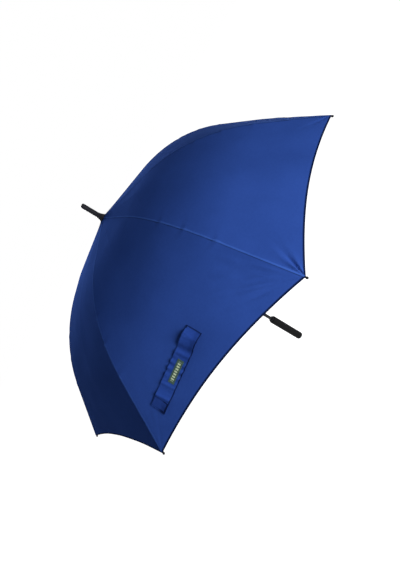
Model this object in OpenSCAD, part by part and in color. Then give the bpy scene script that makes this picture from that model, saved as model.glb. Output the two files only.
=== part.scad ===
// Golf umbrella with eight ribs and a straight manual frame, drawn open.
// Z runs up the shaft from the handle's end face, at z = 0, to the ferrule.
// Each rib lies in its own upright plane, where x is the distance from the shaft.

/* [Canopy] */
// Radius from the shaft's axis to the end of a rib
canopy_r = 645; // [560:5:780]
// Slope of the ribs near the crown, in degrees
slope_in = 8.8; // [6:0.2:12]
// Slope of the ribs at their tips, in degrees
slope_out = 46.2; // [38:0.2:54]
// Radius where a rib starts to bow
bow_start = 210; // [160:5:260]
// Radius where a rib stops bowing
bow_end = 517; // [420:1:550]
// Hollow of the hem between two tips, as a share of the rib's radius
hem_hollow = 0.027; // [0:0.001:0.08]
// Thickness of the cloth, hem included
cloth_t = 0.8; // [0.6:0.1:1.2]
// Gap at the seams between two panels
seam_gap = 0.4; // [0.2:0.1:0.8]
// Radius of the cloth's hole round the shaft
cloth_hole_r = 9.5; // [8.5:0.5:12]

/* [Shaft] */
// Height of the canopy's top above the handle's end face
crown_height = 918; // [860:1:1100]
// Outside diameter of the shaft
shaft_d = 13; // [11:0.5:14]
// Wall of the shaft tube
shaft_wall = 1.5; // [1:0.1:2]
// Height of the shaft's lower end
shaft_start = 8; // [8:1:40]

/* [Ferrule] */
// Length of the ferrule above the canopy's top
ferrule_len = 75; // [55:1:95]
// Diameter of the ferrule's straight part
ferrule_d = 16; // [15.5:0.1:20]
// Diameter of the ferrule's skirt
skirt_d = 30; // [24:0.5:36]
// Height of the ferrule's skirt
skirt_len = 25; // [16:1:32]
// Diameter of the rosette under the skirt
rosette_d = 28; // [22:1:28]

/* [Crown] */
// Diameter of the crown
crown_d = 32; // [30:0.5:36]
// Distance of the rib pivots from the shaft's axis
crown_pivot_r = 12; // [11.5:0.1:13]
// Depth of the rib pivots below the cloth
crown_pivot_drop = 5.5; // [5.2:0.1:7]
// Diameter of the wire that the ribs turn on
wire_d = 1.2; // [1:0.1:1.4]

/* [Ribs] */
// Diameter of a rib rod
rib_d = 3.4; // [3:0.1:3.8]
// Depth of a rib's centreline below the cloth's outer face
rib_drop = 3; // [2.8:0.1:4]
// Radius of the joint on the rib
joint_r = 330; // [270:5:380]
// Diameter of the bead at the rib's end
tip_d = 7; // [5:0.5:9]
// Length of the tip cap
tip_len = 20; // [14:1:30]

/* [Stretchers] */
// Length of a stretcher between its pivots
stretcher_len = 350; // [330:1:400]
// Diameter of a stretcher rod
stretcher_d = 3; // [2.6:0.1:3.4]
// Diameter of the pins in the rib joints
pin_d = 1.6; // [1.4:0.1:1.8]
// Depth of the stretcher's pin below the rib's centreline
pin_drop = 6.5; // [6:0.1:8]

/* [Runner] */
// Distance of the stretcher feet from the shaft's axis
runner_pivot_r = 16; // [15.5:0.1:18]
// Diameter of the runner's sleeve
sleeve_d = 22; // [20:0.5:25]
// Length of the runner's sleeve below the stretcher feet
sleeve_len = 50; // [40:1:70]
// Diameter of the runner's slotted flange
flange_d = 40; // [38:0.5:46]
// How far a rib folds down to close the umbrella, in degrees
fold_angle = 76.9; // [72:0.1:77]

/* [Grip] */
// Diameter of the grip
grip_d = 30; // [27:0.5:36]
// Length of the grip, end cap included
grip_len = 163; // [130:1:200]
// Diameter of the grip's hard core
core_d = 21; // [18:0.5:24]
// Thickness of the end cap's disc
cap_t = 7; // [5:0.5:10]

/* [Closing strap] */
// Width of the strap
strap_w = 40; // [28:1:44]
// Length of the strap
strap_len = 205; // [180:5:230]
// Thickness of the strap
strap_t = 1.6; // [1:0.1:2.4]
// Slant of the strap against the hem's line, in degrees
strap_tilt = 12.7; // [8:0.1:16]
// Width of the label sewn on the strap
label_w = 16; // [8:1:20]
// Length of the label
label_len = 58; // [40:1:70]

/* [Hidden] */
rib_count = 8;
sector = 360 / rib_count;
half = sector / 2;
big = 200;              // longer than any cut
overlap = 0.01;         // where a straight length joins a bowed one
rod_fit = 0.3;          // rib rod in its joint
pin_fit = 0.05;         // round a pivot pin, on the radius
wire_fit = 0.1;         // rib's eye on the curved wire, on the radius
slide_fit = 0.2;        // runner on the shaft, on the radius
press_gap = 0.05;       // between pieces that are pressed or glued together
near_gap = 0.3;         // between faces of pieces that move or lie near each other
lug_t = 2.4;            // flattened rod ends
lug_trim = 0.6;         // flattened end, lower than its rod is thick
lug_over = 2;           // flattened end, inside its rod
splice_d = 2;           // round core where they meet
slot_w = lug_t + 2 * near_gap;
eye_d = 3.6;            // eye on the crown wire
lug_len = 14;           // flattened end of a stretcher at the rib joint
foot_len = 9;           // flattened end of a stretcher at the runner
foot_pin_d = 2.4;       // cross pin at a stretcher's foot
foot_pin_len = 7;
foot_eye_d = 4;
joint_in = 16;          // rib joint, from its centre toward the crown
joint_core = 8;         // part of that which is closed round the rod
joint_w = 7;
joint_top = 1;          // joint's top above the rib's centreline
joint_skin = 1.2;       // joint's wall under the rod
joint_h = 10;           // joint's height before its top is cut
flex_x = 4;             // pin of the outer rib, outward of the joint's centre
flex_boss_r = 3.4;
pin_x = -3;             // pin of the stretcher
pin_boss_r = 2.6;
pin_eye_d = 4.2;
outer_lug = 12;         // where the outer rib's rod starts
cap_wall = 0.3;         // tip cap's sleeve
catch_w = 3;            // width of a catch spring
catch_len = 45;         // from a catch's pin to its tooth
catch_pin_x = -2;
catch_eye_d = 4;
catch_t = 1.2;
catch_knee = 17;        // from the tooth's face to the bend of the spring
catch_in = 1.6;         // spring's bend inside the shaft's wall
tooth_reach = 3;        // tooth beyond the shaft's surface
tooth_len = 5;
tooth_fall = 0.8;       // slope of the tooth's face, so that it clears the runner as it is pressed
window_len = 20;
end_dome = 5;           // rounding of the ferrule's end
ferrule_step = 0.5;     // step between the ferrule's skirt and its straight part
ferrule_solid = 15;     // solid end of the ferrule above its bore
ferrule_spare = 5;      // bore left empty above the shaft
skirt_lift = 0.9;       // skirt above the cloth
rosette_t = 0.5;
crown_up = 2.2;         // crown's disc above and below the rib pivots
crown_down = 4;
crown_sleeve = 16;      // crown's sleeve below the rib pivots
rivet_drop = 10;        // rivet below the rib pivots
rivet_d = 2.4;
rivet_reach = 10.1;
rivet_head_d = 4.4;
rivet_head_t = 0.8;
flange_t = 3.5;
under_r = 14.6;         // cone under the flange
under_len = 8;
runner_rim = 6;         // sleeve above the stretchers' feet
lip_len = 6;            // thick ring at the sleeve's lower end
lip_t = 2;
foot_drop = 9;          // depth of the grooves for the stretchers' feet
shoulder = 4;           // rounding at the top of the grip
cap_round = 4;          // rounding of the end cap
cap_boss = 14;          // end cap's plug inside the shaft
collar_len = 4;
collar_cone = 3;
panel_rows = 24;
panel_cols = 6;
strap_rows = 10;
strap_panel = 6;
strap_lift = 1.3;       // strap above the cloth
strap_side = 79.2;      // strap's middle, from the panel's middle line
strap_rise = 92.6;      // strap's middle, up the cloth from the rib ends
label_low = 2.8;        // label's middle, nearer the hem than the strap's
label_t = 0.55;
tape_margin = 4;        // hook and loop tapes, from the strap's ends
tape_len = 25;
tape_t = 0.85;
tape_inset = 8;         // tape, narrower than the strap

shaft_r = shaft_d / 2;
bore_r = shaft_r - shaft_wall;
apex_z = crown_height;

// Rib curve: a straight line, an arc that meets it smoothly, and a second line.
bow_r = (bow_end - bow_start) / (sin(slope_out) - sin(slope_in));
bow_c = [
    bow_start - bow_r * sin(slope_in),
    apex_z - bow_start * tan(slope_in) - bow_r * cos(slope_in)
];
// Point of the arc where the curve slopes by a degrees, drop below the cloth
function arc_pt(a, drop) = bow_c + (bow_r - drop) * [sin(a), cos(a)];
// Slope of the cloth at radius r of the rib
function slope_at(r) =
    r < bow_start ? slope_in :
    r < bow_end ? asin((r - bow_c.x) / bow_r) : slope_out;
// Height of the cloth at radius r of the rib
function cloth_z(r) =
    r < bow_start ? apex_z - r * tan(slope_in) :
    r < bow_end ? bow_c.y + bow_r * cos(slope_at(r)) :
    arc_pt(slope_out, 0).y - (r - bow_end) * tan(slope_out);
// Point at radius r of the rib, drop below the cloth along its normal
function rib_pt(r, drop) =
    [r, cloth_z(r)] - drop * [sin(slope_at(r)), cos(slope_at(r))];
// Point of a panel: r is the rib's radius there, t runs from one rib to the next
function panel_pt(r, t, drop) =
    let (p = rib_pt(r, drop), y = p.x * sin(half) - seam_gap / 2 / cos(half))
    [p.x * cos(half), y * (2 * t - 1), p.y];
function hem_r(t) = canopy_r * (1 - hem_hollow * 4 * t * (1 - t));

crown_pivot = [crown_pivot_r, cloth_z(crown_pivot_r) - crown_pivot_drop];
lug_end_r = crown_d / 2 + 4;
lug_h = rib_d - lug_trim;
joint_slope = slope_at(joint_r);
joint_c = rib_pt(joint_r, rib_drop);
joint_t = [cos(joint_slope), -sin(joint_slope)];
joint_n = [sin(joint_slope), cos(joint_slope)];
pin_pt = joint_c + pin_x * joint_t - pin_drop * joint_n;
rib_end = rib_pt(canopy_r, rib_drop);
outer_start = joint_slope + outer_lug / (bow_r - rib_drop) * 180 / PI;

foot_dx = pin_pt.x - runner_pivot_r;
foot_z = pin_pt.y - sqrt(stretcher_len * stretcher_len - foot_dx * foot_dx);
foot_pt = [runner_pivot_r, foot_z];
// Closed umbrella: the stretcher's pin turns with the rib, and the runner hangs below it
pin_reach = norm(pin_pt - crown_pivot);
pin_dip = atan2(crown_pivot.y - pin_pt.y, pin_pt.x - crown_pivot.x) + fold_angle;
closed_pin = crown_pivot + pin_reach * [cos(pin_dip), -sin(pin_dip)];
closed_dx = closed_pin.x - runner_pivot_r;
closed_foot_z = closed_pin.y - sqrt(stretcher_len * stretcher_len - closed_dx * closed_dx);
runner_travel = foot_z - closed_foot_z;
runner_top = foot_z + runner_rim;
runner_bottom = foot_z - sleeve_len;
catch_pin_len = 2 * sqrt(pow(shaft_r, 2) - pow(abs(catch_pin_x) + pin_d / 2, 2));
top_catch_z = runner_bottom - near_gap;
bottom_catch_z = runner_top - runner_travel + near_gap;
rivet_z = crown_pivot.y - rivet_drop;
strap_top = strap_lift + strap_t;

$fn = 48;

// Turns a rib's plane to rib k
module at_rib(k) rotate([0, 0, half + sector * (k - 1)]) children();

// Turns a panel's middle line to panel k, between ribs k and k + 1
module at_panel(k) rotate([0, 0, sector * k]) children();

// Round rod in a rib's plane
module rod(p, q, d)
    translate([p.x, 0, p.y])
        rotate([0, atan2(q.x - p.x, q.y - p.y), 0])
            cylinder(h = norm(q - p), d = d);

// Round bar across a rib's plane
module cross_pin(p, d, w)
    translate([p.x, w / 2, p.y]) rotate([90, 0, 0]) cylinder(h = w, d = d);

// Flat outline in a rib's plane, given a thickness
module plate(w)
    translate([0, w / 2, 0]) rotate([90, 0, 0]) linear_extrude(w) children();

// Bowed rod from slope a to slope b
module bow(a, b, drop, d)
    translate([bow_c.x, 0, bow_c.y])
        rotate([90, 0, 0]) rotate([0, 0, 90 - b])
            rotate_extrude(angle = b - a, $fn = 96)
                translate([bow_r - drop, 0]) circle(d = d);

// Core that makes one solid of a rod and the flat lug that meets it at p
module splice(p, slope) {
    along = [cos(slope), -sin(slope)];
    rod(p - along, p + along, splice_d);
}

// Flat strip between two points of a rib's plane
module strip(p, q, w) {
    n = [p.y - q.y, q.x - p.x] / norm(q - p) * w / 2;
    polygon([p + n, q + n, q - n, p - n]);
}

// Moves the joint's own axes to its place on the rib
module at_joint() translate([joint_c.x, 0, joint_c.y]) rotate([0, joint_slope, 0]) children();

module shaft_tube() color("#15161a")
    difference() {
        translate([0, 0, shaft_start])
            cylinder(h = apex_z + ferrule_len - ferrule_solid - ferrule_spare - shaft_start, r = shaft_r);
        translate([0, 0, shaft_start - 1]) cylinder(h = apex_z + ferrule_len, r = bore_r);
        catch_slot(top_catch_z, -1);
        catch_slot(bottom_catch_z, 1);
        for (z = [top_catch_z - catch_len, bottom_catch_z + catch_len])
            cross_pin([catch_pin_x, z], pin_d, shaft_d + 2);
        cross_pin([0, rivet_z], rivet_d, shaft_d + 2);
    }

// Window in the shaft that a catch's tooth passes through
module catch_slot(z, way)
    translate([0, -slot_w / 2 - near_gap, way > 0 ? z - 1 : z + 1 - window_len])
        cube([shaft_r + 1, slot_w + 2 * near_gap, window_len]);

// Leaf spring with a tooth; its eye turns on a pin across the shaft
module catch_spring(z, way) {
    eye = [catch_pin_x, z + way * catch_len];
    knee = [bore_r - catch_in, z + way * catch_knee];
    tip_x = shaft_r + tooth_reach;
    difference() {
        union() {
            cross_pin(eye, catch_eye_d, catch_w);
            plate(catch_w) strip(eye, knee, catch_t);
            plate(catch_w) polygon([
                knee + [-catch_t, -way], knee + [0.4, way],
                [tip_x, z + way * tooth_len], [tip_x, z + way * tooth_fall],
                [bore_r - catch_in - 0.4, z]
            ]);
        }
        cross_pin(eye, pin_d + 2 * pin_fit, catch_w + 2);
    }
}

module top_catch() color("#9a9da2") catch_spring(top_catch_z, -1);

module bottom_catch() color("#9a9da2") catch_spring(bottom_catch_z, 1);

module catch_pins() color("#8d9095")
    for (z = [top_catch_z - catch_len, bottom_catch_z + catch_len])
        cross_pin([catch_pin_x, z], pin_d, catch_pin_len);

// Section of the ferrule: a plug with a domed end and a flared skirt
module ferrule_section() {
    lip = 1;
    dx = skirt_d / 2 - ferrule_d / 2 - ferrule_step;
    dz = skirt_len - lip;
    flare_r = (dx * dx + dz * dz) / 2 / dx;
    translate([0, skirt_len]) square([ferrule_d / 2, ferrule_len - skirt_len - end_dome]);
    translate([0, ferrule_len - end_dome]) square([ferrule_d / 2 - end_dome, end_dome]);
    intersection() {
        translate([ferrule_d / 2 - end_dome, ferrule_len - end_dome]) circle(r = end_dome);
        translate([0, ferrule_len - end_dome]) square(ferrule_d);
    }
    difference() {
        square([skirt_d / 2, skirt_len]);
        translate([ferrule_d / 2 + flare_r, skirt_len]) circle(r = flare_r, $fn = 96);
        polygon([
            [-1, -1], [skirt_d, -1],
            [skirt_d, -skirt_d * tan(slope_in) + skirt_lift], [0, skirt_lift]
        ]);
    }
}

module ferrule() color("#2a2a34")
    translate([0, 0, apex_z]) difference() {
        rotate_extrude($fn = 96) ferrule_section();
        translate([0, 0, -1]) cylinder(h = ferrule_len - ferrule_solid + 1, r = shaft_r + press_gap);
    }

module rosette() color("#22397c")
    translate([0, 0, apex_z]) rotate_extrude($fn = 96) polygon([
        [shaft_r + near_gap, near_gap - shaft_r * tan(slope_in)],
        [rosette_d / 2, near_gap - rosette_d / 2 * tan(slope_in)],
        [rosette_d / 2, near_gap + rosette_t - rosette_d / 2 * tan(slope_in)],
        [shaft_r + near_gap, near_gap + rosette_t - shaft_r * tan(slope_in)]
    ]);

// Slotted hub that holds the ribs' eyes
module crown() color("#26272b") difference() {
    neck_r = crown_pivot_r - eye_d / 2 - near_gap;
    union() {
        translate([0, 0, crown_pivot.y - crown_down]) cylinder(h = crown_down + crown_up, d = crown_d);
        translate([0, 0, crown_pivot.y - crown_sleeve]) cylinder(h = crown_sleeve + crown_up, r = neck_r);
    }
    translate([0, 0, crown_pivot.y - big / 2]) cylinder(h = big, r = shaft_r + press_gap);
    for (k = [1:rib_count]) at_rib(k)
        translate([neck_r, -slot_w / 2, crown_pivot.y - 2 * crown_down])
            cube([crown_d, slot_w, 4 * crown_down]);
    ring(wire_d + 2 * pin_fit);
    cross_pin([0, rivet_z], rivet_d + 2 * pin_fit, crown_d);
}

// Wire ring that the ribs' eyes are threaded on
module crown_wire() color("#8d9095") ring(wire_d);

// Round ring through the rib pivots
module ring(d)
    translate([0, 0, crown_pivot.y]) rotate_extrude($fn = 96)
        translate([crown_pivot_r, 0]) circle(d = d);

module crown_rivet() color("#a5a8ad") {
    cross_pin([0, rivet_z], rivet_d - 2 * pin_fit, 2 * rivet_reach);
    for (side = [0, 180]) rotate([0, 0, side]) translate([0, rivet_reach, rivet_z])
        rotate([-90, 0, 0]) cylinder(h = rivet_head_t, d = rivet_head_d);
}

// Sleeve on the shaft with a slotted flange that the stretchers' feet bear on
module runner() color("#1b1c20") difference() {
    union() {
        translate([0, 0, foot_z]) cylinder(h = flange_t, d = flange_d);
        translate([0, 0, runner_bottom]) cylinder(h = runner_top - runner_bottom, d = sleeve_d);
        translate([0, 0, foot_z - under_len]) cylinder(h = under_len, r1 = sleeve_d / 2, r2 = under_r);
        translate([0, 0, runner_bottom]) cylinder(h = lip_len, d = sleeve_d + 2 * lip_t);
        for (z = [14:6:32]) translate([0, 0, runner_bottom + z]) rotate_extrude($fn = 96)
            translate([sleeve_d / 2, 0]) circle(r = 1, $fn = 24);
    }
    translate([0, 0, runner_bottom - 1]) cylinder(h = big, r = shaft_r + slide_fit);
    for (k = [1:rib_count]) at_rib(k) {
        translate([under_r - foot_eye_d / 2, -slot_w / 2, foot_z - foot_drop])
            cube([flange_d, slot_w, 2 * foot_drop + runner_rim]);
        cross_pin(foot_pt, foot_pin_d + 4 * pin_fit, foot_pin_len + 2 * near_gap);
        translate([
            runner_pivot_r - foot_pin_d / 2 - 2 * pin_fit, -foot_pin_len / 2 - near_gap, foot_z - foot_drop
        ]) cube([flange_d, foot_pin_len + 2 * near_gap, foot_drop]);
    }
}

// Straight and bowed rod from the crown wire to the rib joint, with a flat lug at the crown
module rib_inner(k) color("#1a1b1f") at_rib(k) {
    lug_end = rib_pt(lug_end_r, rib_drop);
    knee = rib_pt(bow_start, rib_drop);
    difference() {
        plate(lug_t) {
            translate(crown_pivot) circle(d = eye_d, $fn = 32);
            strip(crown_pivot, rib_pt(lug_end_r + lug_over, rib_drop), eye_d - lug_trim);
        }
        cross_pin(crown_pivot, wire_d + 2 * wire_fit, slot_w);
    }
    rod(lug_end, knee + overlap * [cos(slope_in), -sin(slope_in)], rib_d - overlap);
    bow(slope_in, joint_slope - joint_core / bow_r * 180 / PI, rib_drop, rib_d);
}

// Moulded clamp at the end of the inner rib, with the stretcher's pin and the flex pin
module rib_joint(k) color("#121317") at_rib(k) at_joint() {
    difference() {
        plate(joint_w) intersection() {
            union() {
                translate([-joint_in, -rib_d / 2 - joint_skin]) square([joint_in + flex_x, joint_h]);
                translate([flex_x, 0]) circle(r = flex_boss_r, $fn = 32);
                translate([pin_x, -pin_drop]) circle(r = pin_boss_r, $fn = 32);
                translate([pin_x - pin_boss_r, -pin_drop]) square([2 * pin_boss_r, pin_drop]);
            }
            translate([-joint_in, -big / 2]) square([big, big / 2 + joint_top]);
        }
        translate([-joint_core, -slot_w / 2, -big / 2]) cube([big, slot_w, big]);
        translate([-joint_in - 1, 0, 0]) rotate([0, 90, 0])
            cylinder(h = joint_in - joint_core + 2, d = rib_d + 2 * rod_fit);
    }
    cross_pin([flex_x, 0], pin_d, joint_w);
    cross_pin([pin_x, -pin_drop], pin_d, joint_w);
}

// Bowed rod from the rib joint to the hem, with its tip cap
module rib_outer(k) color("#1a1b1f") at_rib(k) {
    flex_pt = joint_c + flex_x * joint_t;
    lug_end = arc_pt(outer_start, rib_drop);
    difference() {
        plate(lug_t) {
            translate(flex_pt) circle(d = rib_d, $fn = 32);
            strip(flex_pt, lug_end, lug_h);
        }
        cross_pin(flex_pt, pin_d + 2 * pin_fit, slot_w);
    }
    splice(lug_end, outer_start);
    bow(outer_start, slope_out, rib_drop, rib_d);
    rod(arc_pt(slope_out, rib_drop) - overlap * [cos(slope_out), -sin(slope_out)], rib_end, rib_d - overlap);
    // tip cap: a sleeve and a bead
    cap_start = rib_pt(canopy_r - tip_len * cos(slope_out), rib_drop);
    out = [cos(slope_out), -sin(slope_out)];
    bead = rib_end + (tip_d / 2 - 1) * out;
    difference() {
        union() {
            rod(cap_start, bead, rib_d + 2 * cap_wall);
            translate([bead.x, 0, bead.y]) sphere(d = tip_d - 1);
        }
        rod(cap_start - out, rib_end + press_gap * out, rib_d + 2 * press_gap);
    }
}

// Rod from the rib joint to the runner, with a flat lug at each end
module stretcher(k) color("#1a1b1f") at_rib(k) {
    along = (foot_pt - pin_pt) / stretcher_len;
    difference() {
        plate(lug_t) {
            translate(pin_pt) circle(d = pin_eye_d, $fn = 32);
            strip(pin_pt, pin_pt + (lug_len + lug_over) * along, stretcher_d - lug_trim);
        }
        cross_pin(pin_pt, pin_d + 2 * pin_fit, slot_w);
    }
    rod(pin_pt + lug_len * along, foot_pt - foot_len * along, stretcher_d);
    plate(lug_t) {
        translate(foot_pt) circle(d = foot_eye_d, $fn = 32);
        strip(foot_pt - (foot_len + lug_over) * along, foot_pt, stretcher_d - lug_trim);
    }
    cross_pin(foot_pt, foot_pin_d, foot_pin_len);
}

// Closed solid between two grids of points, upper and lower, each with rows of equal length
module shell(upper, lower) {
    rows = len(upper);
    cols = len(upper[0]);
    n = rows * cols;
    points = concat([for (row = upper) each row], [for (row = lower) each row]);
    function at(i, j) = i * cols + j;
    up = [for (i = [0:rows - 2], j = [0:cols - 2]) each [
        [at(i, j), at(i + 1, j), at(i + 1, j + 1)], [at(i, j), at(i + 1, j + 1), at(i, j + 1)]]];
    down = [for (f = up) [f[2] + n, f[1] + n, f[0] + n]];
    rim = concat(
        [for (j = [0:cols - 2]) [at(0, j), at(0, j + 1)]],
        [for (i = [0:rows - 2]) [at(i, cols - 1), at(i + 1, cols - 1)]],
        [for (j = [cols - 1:-1:1]) [at(rows - 1, j), at(rows - 1, j - 1)]],
        [for (i = [rows - 1:-1:1]) [at(i, 0), at(i - 1, 0)]]);
    sides = [for (e = rim) each [[e[0], e[1], e[1] + n], [e[0], e[1] + n, e[0] + n]]];
    polyhedron(points, concat(up, down, sides));
}

// One gore of the canopy, stretched between two ribs
module panel(k) color("#22397c") at_panel(k)
    shell(panel_grid(0), panel_grid(cloth_t));

function panel_grid(drop) = [for (i = [0:panel_rows]) [for (j = [0:panel_cols])
    let (t = j / panel_cols, r = cloth_hole_r + (hem_r(t) - cloth_hole_r) * i / panel_rows)
    panel_pt(r, t, drop)]];

// Point over the strap's panel: a runs along the strap from its middle, away from the rib,
// and v runs across it, towards the hem
function strap_pt(a, v, up) =
    let (r = canopy_r - (strap_rise + a * sin(strap_tilt) - v * cos(strap_tilt)) * cos(slope_out),
         side = a * cos(strap_tilt) + v * sin(strap_tilt) - strap_side)
    panel_pt(r, 0.5 + side / (2 * r * sin(half)), -up);

function strap_grid(from, to, width, shift, up) = [for (i = [0:strap_rows])
    [for (side = [0.5, 0, -0.5])
        strap_pt(from + (to - from) * i / strap_rows, side * width + shift, up)]];

// Strip that lies along the strap, from low to high above the cloth
module on_strap(from, to, width, low, high, shift = 0)
    shell(strap_grid(from, to, width, shift, high), strap_grid(from, to, width, shift, low));

module closing_strap() color("#2a4a9c") at_panel(strap_panel)
    on_strap(-strap_len / 2, strap_len / 2, strap_w, strap_lift, strap_top);

module strap_label() color("#1f4a38") at_panel(strap_panel)
    on_strap(-label_len / 2, label_len / 2, label_w,
             strap_top + press_gap, strap_top + press_gap + label_t, label_low);

module strap_hook() color("#1c2f6b") at_panel(strap_panel)
    on_strap(strap_len / 2 - tape_margin - tape_len, strap_len / 2 - tape_margin, strap_w - tape_inset,
             strap_lift - press_gap - tape_t, strap_lift - press_gap);

module strap_loop() color("#1c2f6b") at_panel(strap_panel)
    on_strap(tape_margin - strap_len / 2, tape_margin + tape_len - strap_len / 2, strap_w - tape_inset,
             strap_top + press_gap, strap_top + press_gap + tape_t);

module grip_core() color("#202126")
    difference() {
        translate([0, 0, cap_t]) cylinder(h = grip_len - cap_t, d = core_d);
        translate([0, 0, -1]) cylinder(h = big + grip_len, r = shaft_r + press_gap);
    }

// Foam sleeve with a rounded shoulder
module grip_foam() color("#0a0a0a") rotate_extrude($fn = 96) difference() {
    union() {
        translate([0, cap_t + press_gap]) square([grip_d / 2, grip_len - shoulder - cap_t - press_gap]);
        translate([0, cap_t + press_gap]) square([grip_d / 2 - shoulder, grip_len - cap_t - press_gap]);
        translate([grip_d / 2 - shoulder, grip_len - shoulder]) circle(r = shoulder);
    }
    translate([-big, 0]) square([big + core_d / 2 + press_gap, big + grip_len]);
}

module grip_collar() color("#15161a")
    difference() {
        translate([0, 0, grip_len + press_gap]) union() {
            cylinder(h = collar_len, d = core_d + 2);
            translate([0, 0, collar_len])
                cylinder(h = collar_cone, d1 = core_d + 2, d2 = shaft_d + collar_cone);
        }
        cylinder(h = big + grip_len, r = shaft_r + press_gap);
    }

// Disc that closes the handle, with a boss that stops below the shaft's end
module grip_end_cap() color("#17181c") {
    rotate_extrude($fn = 96) {
        square([grip_d / 2 - cap_round, cap_t]);
        translate([0, cap_round]) square([grip_d / 2, cap_t - cap_round]);
        intersection() {
            translate([grip_d / 2 - cap_round, cap_round]) circle(r = cap_round);
            square([grip_d, cap_round]);
        }
    }
    translate([0, 0, cap_t]) cylinder(h = cap_boss, r = bore_r - press_gap);
}

shaft_tube();
ferrule();
rosette();
crown();
crown_wire();
crown_rivet();
runner();
top_catch();
bottom_catch();
catch_pins();
grip_core();
grip_foam();
grip_collar();
grip_end_cap();
for (k = [1:rib_count]) {
    rib_inner(k);
    rib_joint(k);
    rib_outer(k);
    stretcher(k);
    panel(k);
}
closing_strap();
strap_label();
strap_hook();
strap_loop();
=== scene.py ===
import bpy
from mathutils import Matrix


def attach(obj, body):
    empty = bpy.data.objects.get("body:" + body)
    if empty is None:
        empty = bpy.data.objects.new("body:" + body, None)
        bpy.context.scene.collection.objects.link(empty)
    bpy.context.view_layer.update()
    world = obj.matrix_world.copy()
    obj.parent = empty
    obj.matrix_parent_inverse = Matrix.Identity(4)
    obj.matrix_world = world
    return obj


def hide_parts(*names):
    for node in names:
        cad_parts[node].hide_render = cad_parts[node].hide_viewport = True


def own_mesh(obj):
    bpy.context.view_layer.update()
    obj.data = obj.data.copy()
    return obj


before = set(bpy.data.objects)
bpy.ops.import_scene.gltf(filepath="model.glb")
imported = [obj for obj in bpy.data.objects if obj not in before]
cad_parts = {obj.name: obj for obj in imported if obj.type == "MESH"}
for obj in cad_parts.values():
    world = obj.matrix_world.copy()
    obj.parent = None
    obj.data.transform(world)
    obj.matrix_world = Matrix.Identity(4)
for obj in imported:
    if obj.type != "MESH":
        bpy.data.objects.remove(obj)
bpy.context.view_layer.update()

import math

import bpy
import numpy as np
from mathutils import Matrix, Vector

# An eight-rib golf umbrella, open, upright on its own axis: z runs up the shaft from the
# handle's end face. Sizes are in metres and angles in degrees unless a name says otherwise.

# ---------------------------------------------------------------- sizes shared with the frame
MM = 0.001
RIBS = 8
SECTOR = 360 / RIBS
FIRST_RIB = SECTOR / 2
TIP_R = 0.645             # from the shaft's axis to the ends of the ribs' cloth
TOP_Z = 0.918             # where the cloth's slope would meet the axis
SLOPE_IN = 8.8            # slope of the cloth by the shaft and by the hem
SLOPE_OUT = 46.2
BOW_START = 0.210         # radii between which the ribs are bowed
BOW_END = 0.517
HOLE_R = 0.0095
HEM_HOLLOW = 0.027        # how far the hem draws in between two tips, as a share of TIP_R
JOINT_R = 0.330

# ---------------------------------------------------------------- the canopy's own sizes
CLOTH_T = 0.35 * MM
HEM_T = 1.3 * MM
HEM_W = 9 * MM
HEM_LINE_W = 3.6 * MM     # width of the hem's dark line: navy thread, and painted shade of the rolled edge
INNER_ROWS = 40
OUTER_ROWS = 104
HEM_ROWS = 11
COLUMNS = 72
STRAP_PANEL = 6
STRAP_SPLIT = 39          # column of the strap's panel where its halves part
SEAM_HALF = 3.0 * MM      # half the width of the sewn welt over a rib
SEAM_COLUMNS = 7
# Lengths of seam over each rib: their radii and rows
SEAMS = {"inner": (HOLE_R + 0.004, JOINT_R, 60), "outer": (JOINT_R, TIP_R - 0.002, 90)}
STITCH_PITCH = 2.6 * MM
TIES = (0.378, 0.442, 0.506)   # radii where the seam is tied to its rib
CROWN_ROW = 14            # row of the grid where the crown's ring of cloth ends
CROWN_RING_R = HOLE_R + (JOINT_R - HOLE_R) * CROWN_ROW / INNER_ROWS
# Rings of cloth that fold apart: their radii, the tilt of the fold and the width it keeps
RINGS = {"crown": (HOLE_R, CROWN_RING_R, 4.5, 0.29), "inner": (CROWN_RING_R, JOINT_R, 4.5, 0.20),
         "outer": (JOINT_R, TIP_R, 15.0, 0.12)}

# ---------------------------------------------------------------- the canopy's creases
PANEL_SWELL = 2.2 * MM    # how far a gore's middle stands over the straight line between its ribs
# Sharp folds close to a rib's tip: degrees from the rib, height and spread in degrees
SHARP_FOLDS = ((17, 2.3 * MM, 4.5), (28.5, -2.1 * MM, 4.0), (39, 0.8 * MM, 5))
SHARP_REACH = 0.06
# Faint long folds that fan from the tip: degrees from the rib and height
FAN_FOLDS = ((9, 0.42 * MM), (15, -0.3 * MM), (21.5, 0.45 * MM), (27, -0.3 * MM), (32, 0.4 * MM),
             (38, 0.34 * MM), (45, -0.25 * MM))
FAN_SPREAD = 1.5
FAN_REACH = 0.22
# How strong they are on each panel: sharp and fan by its left tip, sharp and fan by its right one
TIP_FOLDS = {5: (0.3, 0.4, 0.1, 0.3), 6: (0.1, 0.3, 0.3, 3.0), 7: (2.5, 0.35, 0.3, 0.3)}
QUIET_TIPS = (0.3, 0.4, 0.3, 0.4)
TIE_KINK = 0.9 * MM
MIDDLE_CREASE = 0.5 * MM  # the gore was once pressed down its middle
CROWN_GATHER = 1.5 * MM


def sind(a):
    return np.sin(np.radians(a))


def cosd(a):
    return np.cos(np.radians(a))


BOW_R = (BOW_END - BOW_START) / (sind(SLOPE_OUT) - sind(SLOPE_IN))
BOW_X = BOW_START - BOW_R * sind(SLOPE_IN)
BOW_Z = TOP_Z - BOW_START * math.tan(math.radians(SLOPE_IN)) - BOW_R * cosd(SLOPE_IN)


def rib_angle(k):
    return FIRST_RIB + SECTOR * (k - 1)


def slope_at(r):
    """Slope of the cloth, in radians, at radius r of a rib."""
    bowed = np.arcsin(np.clip((r - BOW_X) / BOW_R, -1, 1))
    return np.clip(bowed, math.radians(SLOPE_IN), math.radians(SLOPE_OUT))


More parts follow.
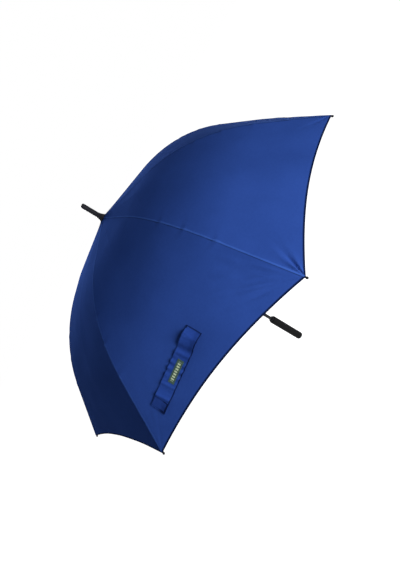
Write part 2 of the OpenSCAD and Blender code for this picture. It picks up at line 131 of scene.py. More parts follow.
def cloth_z(r):
    s = slope_at(r)
    arc = BOW_Z + BOW_R * np.cos(s)
    line_in = TOP_Z - r * math.tan(math.radians(SLOPE_IN))
    end_z = BOW_Z + BOW_R * cosd(SLOPE_OUT)
    line_out = end_z - (r - BOW_END) * math.tan(math.radians(SLOPE_OUT))
    return np.where(r < BOW_START, line_in, np.where(r < BOW_END, arc, line_out))


def rib_arc(r):
    """Length of the rib's curve from the shaft's axis to radius r."""
    inner = np.minimum(r, BOW_START) / cosd(SLOPE_IN)
    bow = BOW_R * (slope_at(r) - math.radians(SLOPE_IN))
    outer = np.maximum(r - BOW_END, 0) / cosd(SLOPE_OUT)
    return inner + bow + outer


def taut_point(k, r, t):
    """Point of panel k at rib radius r, t of the way from rib k to the next, without creases."""
    a, b = math.radians(rib_angle(k)), math.radians(rib_angle(k + 1))
    x = r * ((1 - t) * math.cos(a) + t * math.cos(b))
    y = r * ((1 - t) * math.sin(a) + t * math.sin(b))
    return np.stack([x, y, cloth_z(r)], axis=-1)


def hem_r(t):
    return TIP_R * (1 - HEM_HOLLOW * 4 * t * (1 - t))


# ---------------------------------------------------------------- creases
def smooth(x):
    x = np.clip(x, 0, 1)
    return x * x * (3 - 2 * x)


def bump(x, middle, spread):
    return np.exp(-((x - middle) / spread) ** 2 / 2)


def tip_folds(inward, up, sharp_size, fan_size):
    """Folds of the cloth at a rib's tip, where the hem pulls: a sharp pair close to the rib and a
    fan of faint long ones. The place is measured from the tip, into the panel and up the cloth."""
    lean = math.degrees(math.atan(sind(SECTOR / 2) * cosd(SLOPE_OUT)))
    angle = np.degrees(np.arctan2(inward, up)) - lean
    reach = np.hypot(inward, up)
    close_by = smooth(reach / 0.03) * np.exp(-(reach / SHARP_REACH) ** 2)
    pair = sum(rise * bump(angle, place, spread) for place, rise, spread in SHARP_FOLDS)
    height = sharp_size * close_by * pair
    further = smooth((reach - 0.03) / 0.06) * smooth((FAN_REACH - reach) / 0.08)
    for place, rise in FAN_FOLDS:
        along_fold = 0.6 + 0.4 * np.sin(reach * 70 + place)
        height = height + fan_size * further * along_fold * rise * bump(angle, place, FAN_SPREAD)
    return height


def long_waves(k, across, along):
    """Long soft waves of a gore that isn't stretched quite evenly."""
    slow = 0.4 * MM * np.sin(22 * across + 31 * along + 1.9 * k)
    quick = 0.3 * MM * np.sin(47 * across - 18 * along + 0.8 * k)
    return slow + quick


def crease_height(k, r, t):
    """Height of the cloth's creases over the taut surface."""
    half = r * sind(SECTOR / 2)
    across = (t - 0.5) * 2 * half
    along = rib_arc(r)
    edge = 4 * t * (1 - t)
    height = PANEL_SWELL * edge * smooth(r / 0.3)
    tip_side = TIP_R * sind(SECTOR / 2)
    up = rib_arc(np.full_like(r, TIP_R)) - along
    sharp_left, fan_left, sharp_right, fan_right = TIP_FOLDS.get(k, QUIET_TIPS)
    clear = smooth(edge / 0.02)
    height = height + tip_folds(tip_side + across, up, sharp_left, fan_left) * clear
    height = height + tip_folds(tip_side - across, up, sharp_right, fan_right) * clear
    height = height + long_waves(k, across, along) * edge
    height = height + MIDDLE_CREASE * np.exp(-np.abs(across) / 0.005) * smooth((r - 0.05) / 0.1)
    # small kinks where the seam is tied to the rib
    beside = np.minimum(t, 1 - t) * 2 * half
    for tie in TIES:
        off = (along - rib_arc(np.array(tie))) / 0.007
        height = height + TIE_KINK * off * np.exp(-off ** 2 / 2) * np.exp(-beside / 0.014)
    # the cloth gathers under the ferrule
    gather = np.exp(-(r - HOLE_R) / 0.016)
    return height + gather * (CROWN_GATHER + 0.5 * MM * np.sin(6 * math.pi * t + k))


def gore_grid():
    """Radii and shares of a panel's grid: rows from the hole to the hem, columns from rib to rib,
    which stand closer beside the ribs, where the folds are."""
    t = np.linspace(0, 1, COLUMNS + 1)[None, :]
    t = t - 0.12 * np.sin(2 * math.pi * t)
    u_in = np.linspace(0, 1, INNER_ROWS + 1)[:, None]
    inner = HOLE_R + (JOINT_R - HOLE_R) * u_in + 0 * t
    steps = np.linspace(0, 1, OUTER_ROWS + 1)[1:]
    hem_share = HEM_W * cosd(SLOPE_OUT) / (TIP_R - JOINT_R)
    hem_steps = 1 - hem_share * np.linspace(1, 0, HEM_ROWS + 1) ** 1.4
    u_out = np.concatenate([steps[steps < hem_steps[0] - 0.004], hem_steps])[:, None]
    outer = JOINT_R + (hem_r(t) - JOINT_R) * u_out
    r = np.concatenate([inner, outer])
    return r, np.broadcast_to(t, r.shape)


def surface(k, r, t):
    """Points and outward normals of panel k's cloth."""
    step = 1e-4
    dr = taut_point(k, r + step, t) - taut_point(k, r - step, t)
    dt = taut_point(k, r, t + step) - taut_point(k, r, t - step)
    base_n = np.cross(dr, dt)
    base_n /= np.linalg.norm(base_n, axis=-1, keepdims=True)

    def creased(rr, tt):
        return taut_point(k, rr, tt) + base_n * crease_height(k, rr, tt)[..., None]

    p = creased(r, t)
    dr = creased(r + step, t) - creased(r - step, t)
    dt = creased(r, t + step) - creased(r, t - step)
    n = np.cross(dr, dt)
    n /= np.linalg.norm(n, axis=-1, keepdims=True)
    return p, n


# ---------------------------------------------------------------- mesh making
def grid_faces(rows, cols, start=0, flip=False):
    faces = []
    for i in range(rows - 1):
        for j in range(cols - 1):
            a = start + i * cols + j
            quad = [a, a + cols, a + cols + 1, a + 1]
            faces.append(quad[::-1] if flip else quad)
    return faces


def rim_faces(rows, cols, under):
    """Faces that close the edge between an upper grid and the lower one that starts at under."""
    loop = list(range(cols))
    loop += [i * cols + cols - 1 for i in range(1, rows)]
    loop += [(rows - 1) * cols + j for j in range(cols - 2, -1, -1)]
    loop += [i * cols for i in range(rows - 2, 0, -1)]
    return [[a, b, b + under, a + under] for a, b in zip(loop, loop[1:] + loop[:1])]


def make_mesh(name, points, faces, materials, normals=None, uv=None, marks=None):
    mesh = bpy.data.meshes.new(name)
    mesh.from_pydata([tuple(p) for p in points], [], faces)
    for m in materials:
        mesh.materials.append(m)
    mesh.polygons.foreach_set("use_smooth", [True] * len(mesh.polygons))
    index = np.empty(len(mesh.loops), int)
    mesh.loops.foreach_get("vertex_index", index)
    if uv is not None:
        layer = mesh.uv_layers.new(name="cloth")
        layer.data.foreach_set("uv", np.asarray(uv, np.float32)[index].ravel())
    for key, values in (marks or {}).items():
        attribute = mesh.attributes.new(key, "FLOAT", "POINT")
        attribute.data.foreach_set("value", np.asarray(values, np.float32))
    mesh.validate()
    if normals is not None:
        mesh.normals_split_custom_set_from_vertices([tuple(n) for n in normals])
    obj = bpy.data.objects.new(name, mesh)
    bpy.context.scene.collection.objects.link(obj)
    return obj


def cloth_sheet(name, p, n, thick, uv, marks, material):
    """Closed thin sheet from a grid of points, their normals and the cloth's thickness there."""
    rows, cols = p.shape[:2]
    count = rows * cols
    under = p - n * thick[..., None]
    points = np.concatenate([p.reshape(-1, 3), under.reshape(-1, 3)])
    normals = np.concatenate([n.reshape(-1, 3), -n.reshape(-1, 3)])
    faces = grid_faces(rows, cols) + grid_faces(rows, cols, count, True)
    faces += [f[::-1] for f in rim_faces(rows, cols, count)]
    uv2 = np.concatenate([uv.reshape(-1, 2)] * 2)
    marks2 = {key: np.concatenate([v.reshape(-1)] * 2) for key, v in marks.items()}
    return make_mesh(name, points, faces, [material], normals, uv2, marks2)


# ---------------------------------------------------------------- materials
def colour(code):
    """sRGB hex to linear."""
    parts = [int(code[i:i + 2], 16) / 255 for i in (0, 2, 4)]
    linear = [c / 12.92 if c <= 0.04045 else ((c + 0.055) / 1.055) ** 2.4 for c in parts]
    return (*linear, 1.0)


def node(tree, kind, settings=None, links=None):
    """Adds a node; settings are its properties or input values, links its inputs' sources."""
    made = tree.nodes.new(kind)
    for key, value in (settings or {}).items():
        if isinstance(key, int) or key in made.inputs:
            made.inputs[key].default_value = value
        else:
            setattr(made, key, value)
    for key, source in (links or {}).items():
        tree.links.new(source, made.inputs[key])
    return made


def new_material(name):
    material = bpy.data.materials.new(name)
    material.use_nodes = True
    tree = material.node_tree
    tree.nodes.clear()
    return material, tree


def finish_material(tree, shader):
    node(tree, "ShaderNodeOutputMaterial", links={"Surface": shader.outputs[0]})


def ramp(tree, source, stops):
    made = node(tree, "ShaderNodeValToRGB", links={"Fac": source})
    band = made.color_ramp
    while len(band.elements) < len(stops):
        band.elements.new(0.5)
    for element, (place, value) in zip(band.elements, stops):
        element.position = place
        element.color = value
    return made


def band_scale(period):
    """Scale of a wave texture whose bands repeat at the given length."""
    return 2 * math.pi / (20 * period)


def relief(tree, height, strength, depth):
    """The shader's normal with a height pattern of the given depth pressed into it."""
    settings = {"Strength": strength, "Distance": depth}
    return node(tree, "ShaderNodeBump", settings, {"Height": height}).outputs["Normal"]


def noise(tree, place, scale, detail, **more):
    settings = {"Scale": scale, "Detail": detail, **more}
    return node(tree, "ShaderNodeTexNoise", settings, {"Vector": place}).outputs["Fac"]


def between(tree, value, low, high):
    """Takes a pattern from 0 to 1 into the range from low to high."""
    settings = {"To Min": low, "To Max": high}
    return node(tree, "ShaderNodeMapRange", settings, {"Value": value}).outputs["Result"]


def object_place(tree):
    return node(tree, "ShaderNodeTexCoord").outputs["Object"]


def cloth_place(tree):
    return node(tree, "ShaderNodeUVMap", {"uv_map": "cloth"}).outputs[0]


def mark(tree, name):
    return node(tree, "ShaderNodeAttribute", {"attribute_name": name}).outputs["Fac"]


def woven_pongee(name, face, shade, thread_mm=0.9, sheen=0.25):
    """Woven polyester pongee, dyed and calendered: a fine plain weave with a dull silk sheen, and
    thread rows that sink into it. The eye sees an even matt blue that lightens at a low angle."""
    material, tree = new_material(name)
    uv = cloth_place(tree)
    # real threads are about 0.15 mm; drawn coarser so that they show
    threads = {"Scale": band_scale(thread_mm * MM), "Distortion": 0.4, "Detail": 1.0}
    warp = node(tree, "ShaderNodeTexWave", {"bands_direction": "X", **threads}, {"Vector": uv})
    weft = node(tree, "ShaderNodeTexWave", {"bands_direction": "Y", **threads}, {"Vector": uv})
    weave = node(tree, "ShaderNodeMath", {"operation": "MULTIPLY"},
                 {0: warp.outputs["Fac"], 1: weft.outputs["Fac"]})
    cloud = noise(tree, object_place(tree), 7.0, 4.0, Roughness=0.6)
    streak = noise(tree, uv, 160.0, 2.0)
    mixed = node(tree, "ShaderNodeMath", {"operation": "MULTIPLY_ADD", 1: 0.35}, {0: streak, 2: cloud})
    tone = ramp(tree, mixed.outputs[0], [(0.45, colour(shade)), (0.9, colour(face))])
    # the 'hem' mark turns the cloth navy: thread where it is rolled or cut and sewn, and painted shade
    # along the hem's roll, on the seams' folded side and at the strap's raised edges
    sewn = node(tree, "ShaderNodeMix", {"data_type": "RGBA", 7: colour("0a1029")},
                {0: mark(tree, "hem"), 6: tone.outputs["Color"]})
    height = node(tree, "ShaderNodeMath", {"operation": "MULTIPLY_ADD", 1: 0.3},
                  {0: weave.outputs[0], 2: mark(tree, "stitch")})
    shader = node(tree, "ShaderNodeBsdfPrincipled",
                  {"IOR": 1.5, "Specular IOR Level": 0.0, "Sheen Weight": sheen, "Sheen Roughness": 0.3,
                   "Sheen Tint": colour("5f7fd0")},
                  {"Base Color": sewn.outputs[2], "Roughness": between(tree, cloud, 0.5, 0.62),
                   "Normal": relief(tree, height.outputs[0], 0.35, 0.25 * MM)})
    finish_material(tree, shader)
    return material


def moulded(name, face, rough, grain_mm, depth_mm):
    """Injection-moulded plastic: an even spark-eroded grain that dulls it, with faint flow clouding."""
    material, tree = new_material(name)
    place = object_place(tree)
    grain = noise(tree, place, 1 / (grain_mm * MM), 3.0)
    cloud = noise(tree, place, 35.0, 3.0)
    base = colour(face)
    flow = 0.06
    lighter = tuple(min(1, c + flow * (0.03 + c)) for c in base[:3]) + (1.0,)
    tone = ramp(tree, cloud, [(0.3, base), (0.75, lighter)])
    shader = node(tree, "ShaderNodeBsdfPrincipled", {"IOR": 1.5, "Specular IOR Level": 0.12},
                  {"Base Color": tone.outputs["Color"],
                   "Roughness": between(tree, cloud, rough - 0.05, rough + 0.08),
                   "Normal": relief(tree, grain, 0.4, depth_mm * MM)})
    finish_material(tree, shader)
    return material


def pultruded_fibreglass(name, face, rough):
    """Pultruded fibreglass: fine lengthwise fibre streaks under a satin resin skin, which give a
    long soft glint along the rod."""
    material, tree = new_material(name)
    place = object_place(tree)
    stretched = node(tree, "ShaderNodeMapping", {"Scale": (1.0, 1.0, 0.03)}, {"Vector": place})
    fibre = noise(tree, stretched.outputs[0], 900.0, 2.0)
    cloud = noise(tree, place, 25.0, 2.0)
    base = colour(face)
    lighter = tuple(min(1, c * 1.5 + 0.004) for c in base[:3]) + (1.0,)
    tone = ramp(tree, fibre, [(0.35, base), (0.7, lighter)])
    shader = node(tree, "ShaderNodeBsdfPrincipled", {"IOR": 1.53, "Specular IOR Level": 0.18},
                  {"Base Color": tone.outputs["Color"],
                   "Roughness": between(tree, cloud, rough - 0.05, rough + 0.1),
                   "Normal": relief(tree, fibre, 0.25, 0.05 * MM)})
    finish_material(tree, shader)
    return material


def eva_foam(name):
    """Cut and heat-skinned EVA foam: a matt black skin with fine pinholes and a leathery ripple."""
    material, tree = new_material(name)
    place = object_place(tree)
    # real pinholes are about 0.3 mm; drawn coarser so that they show
    cells = node(tree, "ShaderNodeTexVoronoi", {"Scale": 1 / (1.1 * MM)}, {"Vector": place})
    ripple = noise(tree, place, 260.0, 4.0)
    height = node(tree, "ShaderNodeMath", {"operation": "MULTIPLY_ADD", 1: 0.6},
                  {0: cells.outputs["Distance"], 2: ripple})
    tone = ramp(tree, ripple, [(0.3, colour("0b0b0c")), (0.75, colour("1a1a1c"))])
    shader = node(tree, "ShaderNodeBsdfPrincipled",
                  {"IOR": 1.45, "Roughness": 0.72, "Specular IOR Level": 0.1, "Sheen Weight": 0.03},
                  {"Base Color": tone.outputs["Color"],
                   "Normal": relief(tree, height.outputs[0], 0.5, 0.25 * MM)})
    finish_material(tree, shader)
    return material


def drawn_steel(name):
    """Drawn spring steel: bright, with fine die lines that break its reflections up."""
    material, tree = new_material(name)
    lines = noise(tree, object_place(tree), 1400.0, 2.0)
    tone = ramp(tree, lines, [(0.3, colour("8c9096")), (0.7, colour("b9bcc0"))])
    shader = node(tree, "ShaderNodeBsdfPrincipled", {"Metallic": 1.0, "Roughness": 0.32},
                  {"Base Color": tone.outputs["Color"], "Normal": relief(tree, lines, 0.2, 0.03 * MM)})
    finish_material(tree, shader)
    return material


def damask_label(name):
    """Woven damask label: dark green ribs of thread with a row of plain lighter bars."""
    material, tree = new_material(name)
    # real ribs are about 0.3 mm; drawn coarser so that they show
    ribs = node(tree, "ShaderNodeTexWave",
                {"bands_direction": "X", "Scale": band_scale(1.4 * MM), "Distortion": 0.3},
                {"Vector": cloth_place(tree)}).outputs["Fac"]
    tone = ramp(tree, ribs, [(0.2, colour("0f2f2a")), (0.8, colour("1a4639"))])
    barred = node(tree, "ShaderNodeMix", {"data_type": "RGBA", 7: colour("b9c9a6")},
                  {0: mark(tree, "bars"), 6: tone.outputs["Color"]})
    shader = node(tree, "ShaderNodeBsdfPrincipled", {"Roughness": 0.6, "Sheen Weight": 0.2},
                  {"Base Color": barred.outputs[2], "Normal": relief(tree, ribs, 0.5, 0.15 * MM)})
    finish_material(tree, shader)
    return material


canopy_cloth = woven_pongee("woven pongee, royal blue", "2f4e9d", "2a4791")
strap_cloth = woven_pongee("doubled pongee, pressed", "2f50a6", "25418e")
# lighter than the canopy's cloth: a painted highlight on the seams' raised crowns
seam_cloth_lit = woven_pongee("folded pongee, lightened as painted highlight", "3c60b4", "3355a6")
hook_tape = woven_pongee("knitted hook tape", "294590", "233c84", thread_mm=1.4, sheen=0.15)
label_weave = damask_label("woven damask, dark green")
shaft_glass = pultruded_fibreglass("pultruded fibreglass, black shaft", "131418", 0.32)
rib_glass = pultruded_fibreglass("pultruded fibreglass, black rod", "15161a", 0.38)
nylon = moulded("moulded nylon, black", "141519", 0.48, 0.5, 0.05)
ferrule_abs = moulded("moulded ABS, charcoal satin", "23242c", 0.36, 0.6, 0.04)
foam = eva_foam("heat-skinned EVA foam, black")
steel = drawn_steel("drawn spring steel")


def dress(names, material):
    for name in names:
        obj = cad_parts[name]
        obj.data.materials.clear()
        obj.data.materials.append(material)


def on_each_rib(*parts):
    return [f"{part}_{k}" for part in parts for k in range(1, RIBS + 1)]


dress(["shaft_tube"], shaft_glass)
dress(on_each_rib("rib_inner", "rib_outer", "stretcher"), rib_glass)
dress(on_each_rib("rib_joint"), nylon)
dress(["crown", "runner", "grip_core", "grip_collar", "grip_end_cap"], nylon)
dress(["ferrule"], ferrule_abs)
dress(["rosette"], canopy_cloth)
dress(["grip_foam"], foam)
dress(["crown_wire", "crown_rivet", "catch_pins", "top_catch", "bottom_catch"], steel)


# ---------------------------------------------------------------- riding on the ribs
def rib_body(ring, k):
    return f"rib_end_{k}" if ring == "outer" else f"rib_{k}"


def fold_with_rib(piece, k, ring):
    """Rides the piece on rib k, or on the rib's outer end for the outer ring, with a mesh of its own."""
    a = math.radians(rib_angle(k))
    radial = np.array([math.cos(a), math.sin(a), 0.0])
    around = np.array([-math.sin(a), math.cos(a), 0.0])
    r0, r1, lean, keep = RINGS[ring]

    def rib_point(r):
        return radial * r + np.array([0, 0, float(cloth_z(r))])

    start, end = rib_point(r0), rib_point(r1)
    chord = (end - start) / np.linalg.norm(end - start)
    out = np.cross(around, chord)
    out = out if out[2] > 0 else -out
    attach(piece, rib_body(ring, k))
    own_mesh(piece)


# ---------------------------------------------------------------- the canopy's panels
def canopy_panel(k):
    """The six pieces of gore k, which part at its middle, near the crown and at the rib joints."""
    r, t = gore_grid()
    p, n = surface(k, r, t)
    along = rib_arc(r)
    across = (t - 0.5) * 2 * r * sind(SECTOR / 2)
    to_hem = rib_arc(hem_r(t)) - along
    uv = np.stack([across, along], axis=-1)
    folded = smooth(1 - (to_hem - HEM_W * 0.8) / (HEM_W * 0.25))
    thick = CLOTH_T + (HEM_T - CLOTH_T) * folded
    p = p + n * (0.25 * MM * folded)[..., None]
    # dark line along the hem: its thread, widened with painted shade of the rolled edge
    marks = {"hem": 0.9 * smooth(1 - (to_hem - HEM_LINE_W) / (1.6 * MM)),
             "stitch": -0.8 * np.exp(-((to_hem - HEM_W * 0.75) / (0.5 * MM)) ** 2)}
    split = STRAP_SPLIT if k == STRAP_PANEL else COLUMNS // 2
    following = k % RIBS + 1
    halves = {"left": (1, slice(0, split + 1), k), "right": (-1, slice(split, COLUMNS + 1), following)}
    ring_rows = {"crown": slice(0, CROWN_ROW + 1), "inner": slice(CROWN_ROW, INNER_ROWS + 1),
                 "outer": slice(INNER_ROWS, len(r))}
    for ring, rows in ring_rows.items():
        for half, (side, cols, rib) in halves.items():
            part_marks = {key: values[rows, cols] for key, values in marks.items()}
            part = cloth_sheet(f"canopy_{ring}_{k}_{half}", p[rows, cols], n[rows, cols],
                               thick[rows, cols], uv[rows, cols], part_marks, canopy_cloth)
            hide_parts(f"panel_{k}")
            fold_with_rib(part, rib, ring)
            welt = [seam_welt(k, ring)] if half == "left" and ring in SEAMS else []


def seam_welt(k, ring):
    """The felled seam over rib k: the cloth's edges folded to one side, with two rows of stitches. Its
    cloth is drawn lighter than the canopy's as a painted highlight on its crown, and a dark band on its
    folded side is painted shadow of the seam's step.
    """
    r0, r1, rows = SEAMS[ring]
    r = np.linspace(r0, r1, rows)[:, None] + np.zeros((1, SEAM_COLUMNS))
    w = np.linspace(-1, 1, SEAM_COLUMNS)[None, :] * SEAM_HALF + 0 * r
    w = w * np.clip(r / 0.05, 0.25, 1)
    for tie in TIES:
        off = (rib_arc(r) - rib_arc(np.array(tie))) / 0.008
        w = w + 1.6 * MM * off * np.exp(-off ** 2 / 2)
    share = np.abs(w) / (2 * r * sind(SECTOR / 2))
    before = (k - 2) % RIBS + 1
    p_left, n_left = surface(before, r, 1 - share)
    p_right, n_right = surface(k, r, share)
    right = (w >= 0)[..., None]
    n = n_left + n_right
    n /= np.linalg.norm(n, axis=-1, keepdims=True)
    round_n = np.where(right, n_right, n_left) * 0.5 + n * 0.5
    round_n /= np.linalg.norm(round_n, axis=-1, keepdims=True)
    crown = np.clip(1 - (w / SEAM_HALF) ** 2, 0, 1)
    p = np.where(right, p_right, p_left) + n * (0.12 * MM + 0.6 * MM * crown)[..., None]
    along = rib_arc(r)
    stitches = np.maximum(np.sin(along / STITCH_PITCH * 2 * math.pi), 0)
    stitches = stitches * np.exp(-((np.abs(w) - SEAM_HALF * 0.62) / (0.35 * MM)) ** 2)
    # painted shadow: a dark band on the folded side, where the seam's step would cast shade
    painted_step_shadow = smooth((-w / SEAM_HALF - 0.35) / 0.25)
    marks = {"hem": 0.2 * stitches + 0.6 * painted_step_shadow, "stitch": -0.9 * stitches}
    uv = np.stack([w + 0.5, along], axis=-1)
    piece = cloth_sheet(f"seam_{ring}_{k}", p, round_n, np.full(r.shape, 0.3 * MM), uv, marks, seam_cloth_lit)
    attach(piece, rib_body(ring, k))
    return piece


for k in range(1, RIBS + 1):
    canopy_panel(k)

# ---------------------------------------------------------------- the closing strap
STRAP_LEN = 205 * MM
STRAP_W = 40 * MM
STRAP_TILT = 12.7         # slant against the hem's line
STRAP_SIDE = 79.2 * MM    # the strap's middle, from the panel's middle line
STRAP_RISE = 92.6 * MM    # the strap's middle, up the cloth from the rib ends
STRAP_T = 0.9 * MM
STRAP_LIFT = 1.25 * MM    # top of the strap where it lies flat
LABEL_LEN = 58 * MM
LABEL_W = 16 * MM
LABEL_LOW = 2.8 * MM      # the label's middle, nearer the hem than the strap's
LABEL_MIDDLE = 0.508      # the label's middle, as a share of the strap's length
BAR_PITCH = 6.2 * MM
BAR_HALF = 4.0 * MM       # half the height of the label's bars
BARS_HALF = 24 * MM       # half the length of their row
# Height of the strap's creases along it: share of its length and millimetres
STRAP_PROFILE = ((-0.05, 0.0), (0.0, 0.6), (0.02, 1.0), (0.11, 7.4), (0.125, 6.6), (0.15, 6.9),
                 (0.195, 5.6), (0.25, 0.4), (0.275, 0.2), (0.31, 3.4), (0.335, 0.8), (0.37, 1.3),
                 (0.65, 1.4), (0.672, 1.0), (0.69, 3.0), (0.712, 1.2), (0.76, 0.2), (0.82, 1.4),
                 (0.845, 3.8), (0.868, 1.0), (1.0, 0.3))
SOFTENING = (-0.012, -0.006, 0, 0.006, 0.012)


def strap_surface(s, v, lift):
    """Points over the strap's panel: s runs from the free end to the sewn one, v towards the hem."""
    a = (0.5 - s) * STRAP_LEN
    rise = STRAP_RISE + a * sind(STRAP_TILT) - v * cosd(STRAP_TILT)
    r = TIP_R - rise * cosd(SLOPE_OUT)
    side = a * cosd(STRAP_TILT) + v * sind(STRAP_TILT) - STRAP_SIDE
    p, n = surface(STRAP_PANEL, r, 0.5 + side / (2 * r * sind(SECTOR / 2)))
    return p + n * lift[..., None]


def strap_wave(s, v):
    """How far the strap stands off its panel: a raised loop, a pinch, and the creases of its folds."""
    across = v / STRAP_W
    places, heights = np.array(STRAP_PROFILE).T
    slant = s + 0.02 * across
    softened = sum(np.interp(slant + step, places, heights) for step in SOFTENING) / len(SOFTENING)
    side = np.abs(2 * across) ** 1.6
    crumple = 1.7 * MM * np.sin(s * 78 + 1.5 * across) * side * bump(s, 0.48, 0.09)
    hem_side = smooth(2 * across) ** 2
    curl = 2.2 * MM * hem_side * (bump(s, 0.1, 0.1) + bump(s, 0.94, 0.05))
    return STRAP_LIFT + np.maximum(softened * MM + crumple + curl, 0)


def normals_of(p):
    ds = np.gradient(p, axis=0)
    dv = np.gradient(p, axis=1)
    n = np.cross(ds, dv)
    return n / np.linalg.norm(n, axis=-1, keepdims=True)


def sewn_marks(along, across, length, width, from_free_end):
    """Stitch row, overlocked edge and bars of a piece of the strap, from places on that piece. The edge
    towards the hem and the strap's free end show a broader, darker line: painted shadow where the strap
    stands off its panel, over the overlock thread."""
    edge = np.minimum(width / 2 - np.abs(across), length / 2 - np.abs(along))
    stitch = -bump(edge, 2.5 * MM, 0.35 * MM)
    # painted shadow: the edge towards the hem and the free end, where the strap stands off its panel, get
    # a broader and darker line over the overlock thread
    shadowed_edge = np.maximum(smooth(across / (0.2 * width)), smooth((8 * MM - from_free_end) / (3 * MM)))
    overlock_and_shadow = smooth(((1.5 + 1.1 * shadowed_edge) * MM - edge) / (0.6 * MM))
    bars = smooth((np.cos(along / BAR_PITCH * 2 * math.pi) + 0.45) * 3)
    bars = bars * smooth((BAR_HALF - np.abs(across)) / (0.6 * MM))
    bars = bars * smooth((BARS_HALF - np.abs(along)) / (0.8 * MM))
    return {"hem": (0.3 + 0.5 * shadowed_edge) * overlock_and_shadow, "stitch": stitch, "bars": bars}


def strap_piece(name, ends, width, thick, finish, grid, rise=0.0, low=0.0):
    """A layer of the strap between two shares of its length, with its width and thickness, its material
    and a slot name, which is not used, its rows and columns, how far its face stands over the strap's,
    and how much nearer the hem it lies."""
    rows, cols = grid
    s = np.linspace(*ends, rows)[:, None] + np.zeros((1, cols))
    v = np.linspace(-0.5, 0.5, cols)[None, :] * width + low + 0 * s
    p = strap_surface(s, v, strap_wave(s, v) + rise)
    n = normals_of(p)
    if n[rows // 2, cols // 2, 2] < 0:
        p, s, v = p[:, ::-1], s[:, ::-1], v[:, ::-1]
        n = normals_of(p)
    material, slot = finish
    along = s * STRAP_LEN
    middle = STRAP_LEN * sum(ends) / 2
    length = STRAP_LEN * (ends[1] - ends[0])
    marks = sewn_marks(along - middle, v - low, length, width, along)
    uv = np.stack([v, along], axis=-1)
    piece = cloth_sheet(name, p, n, np.full(s.shape, thick), uv, marks, material)
    fold_with_rib(piece, STRAP_PANEL, "outer")
    return piece


def closing_strap():
    """The strap with its label, the hook tape under its free end and the loop tape on its sewn end."""
    strap = strap_piece("closing_strap_cloth", (0, 1), STRAP_W, STRAP_T,
                        (strap_cloth, "strap_cloth"), (180, 25))
    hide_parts("closing_strap")
    half = LABEL_LEN / STRAP_LEN / 2
    label = strap_piece("strap_label_cloth", (LABEL_MIDDLE - half, LABEL_MIDDLE + half), LABEL_W,
                        0.5 * MM, (label_weave, "label_weave"), (117, 33),
                        rise=0.45 * MM, low=LABEL_LOW)
    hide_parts("strap_label")
    hook = strap_piece("strap_hook_tape", (0.02, 0.14), 30 * MM, 0.8 * MM,
                       (hook_tape, "hook_tape"), (40, 21), rise=-STRAP_T - 0.02 * MM)
    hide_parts("strap_hook")
    loop = strap_piece("strap_loop_tape", (0.872, 0.985), 37 * MM, 0.55 * MM,
                       (hook_tape, "hook_tape"), (40, 21), rise=0.5 * MM)
    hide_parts("strap_loop")


closing_strap()

# ---------------------------------------------------------------- floor, light and camera
AMBIENT = 0.12            # strength of the light that comes from all around
FLOOR_HALF = 30.0
FLOOR_Z = -1.1            # the umbrella is held, well over the floor


def looked_at(tree):
    """1 for rays from the camera, straight or by way of a mirror or glass, and 0 for the others."""
    path = node(tree, "ShaderNodeLightPath").outputs
    seen = node(tree, "ShaderNodeMath", {"operation": "MAXIMUM"},
                {0: path["Is Camera Ray"], 1: path["Is Glossy Ray"]})
    seen = node(tree, "ShaderNodeMath", {"operation": "MAXIMUM"},
                {0: seen.outputs[0], 1: path["Is Transmission Ray"]})
    return seen.outputs[0]


def pale_floor():
    """Pale matt floor far below the held umbrella. What the camera sees of it is lifted to white,
    fully beyond the light's reach, and less near the middle, where the shadow stays."""
    material, tree = new_material("matt white painted floor")
    reach = node(tree, "ShaderNodeVectorMath", {"operation": "LENGTH"}, {0: object_place(tree)})
    lift = node(tree, "ShaderNodeMapRange",
                {"From Min": 1.2, "From Max": 4.0, "To Min": 0.82, "To Max": 1.0,
                 "interpolation_type": "SMOOTHSTEP"}, {"Value": reach.outputs["Value"]})
    part = node(tree, "ShaderNodeMath", {"operation": "MULTIPLY"},
                {0: looked_at(tree), 1: lift.outputs[0]})
    diffuse = node(tree, "ShaderNodeBsdfDiffuse", {"Color": (0.8, 0.8, 0.8, 1)})
    glow = node(tree, "ShaderNodeEmission", {"Color": (1, 1, 1, 1)}, {"Strength": part.outputs[0]})
    shader = node(tree, "ShaderNodeAddShader", links={0: diffuse.outputs[0], 1: glow.outputs[0]})
    finish_material(tree, shader)
    h = FLOOR_HALF
    corners = [(-h, -h, FLOOR_Z), (h, -h, FLOOR_Z), (h, h, FLOOR_Z), (-h, h, FLOOR_Z)]
    floor = make_mesh("floor", corners, [[0, 1, 2, 3]], [material])


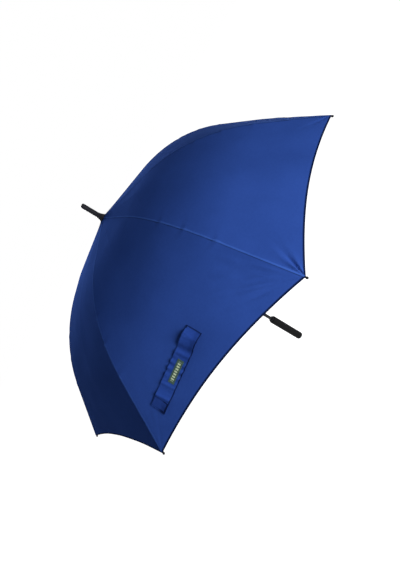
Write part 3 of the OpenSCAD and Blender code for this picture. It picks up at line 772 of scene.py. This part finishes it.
def white_world():
    """White to the eye, and a faint cool light from all around to everything else."""
    world = bpy.data.worlds.new("white studio")
    bpy.context.scene.world = world
    world.use_nodes = True
    tree = world.node_tree
    tree.nodes.clear()
    ambient = node(tree, "ShaderNodeBackground", {"Color": (0.95, 0.97, 1.0, 1), "Strength": AMBIENT})
    backdrop = node(tree, "ShaderNodeBackground", {"Color": (1, 1, 1, 1), "Strength": 1.0})
    mix = node(tree, "ShaderNodeMixShader",
               links={0: looked_at(tree), 1: ambient.outputs[0], 2: backdrop.outputs[0]})
    node(tree, "ShaderNodeOutputWorld", links={"Surface": mix.outputs[0]})


def soft_box(name, place, target, size, power):
    """Square area light of a size in metres and a power in watts, turned towards a target."""
    light = bpy.data.lights.new(name, "AREA")
    light.shape = "SQUARE"
    light.size = size
    light.energy = power
    lamp = bpy.data.objects.new(name, light)
    lamp.location = place
    aim = Vector(target) - Vector(place)
    lamp.rotation_euler = aim.to_track_quat("-Z", "Y").to_euler()
    bpy.context.scene.collection.objects.link(lamp)


def studio_camera(place, target, roll, lens):
    """A near, wide view, rolled so that the shaft runs down to the right."""
    camera = bpy.data.cameras.new("camera")
    camera.sensor_width = 36
    camera.lens = lens
    camera.clip_start, camera.clip_end = 0.01, 50
    eye = bpy.data.objects.new("camera", camera)
    aim = (Vector(target) - Vector(place)).to_track_quat("-Z", "Y").to_matrix().to_4x4()
    eye.matrix_world = Matrix.Translation(place) @ aim @ Matrix.Rotation(math.radians(roll), 4, "Z")
    bpy.context.scene.collection.objects.link(eye)
    bpy.context.scene.camera = eye


bpy.context.scene.view_settings.view_transform = "Standard"
pale_floor()
white_world()
soft_box("key", place=(0.83, -1.54, 0.34), target=(0.2, -0.45, 0.62), size=0.8, power=29.5)
soft_box("rim", place=(-1.21, 1.9, 1.39), target=(0, 0, 0.75), size=1.2, power=75)
soft_box("top", place=(0.8, 0.6, 3.0), target=(0, 0, 0.9), size=1.6, power=9)
studio_camera(place=(0.27694, -1.15215, 0.99148), target=(-0.02719, -0.00722, 0.50864),
              roll=-59.6338, lens=22.05)
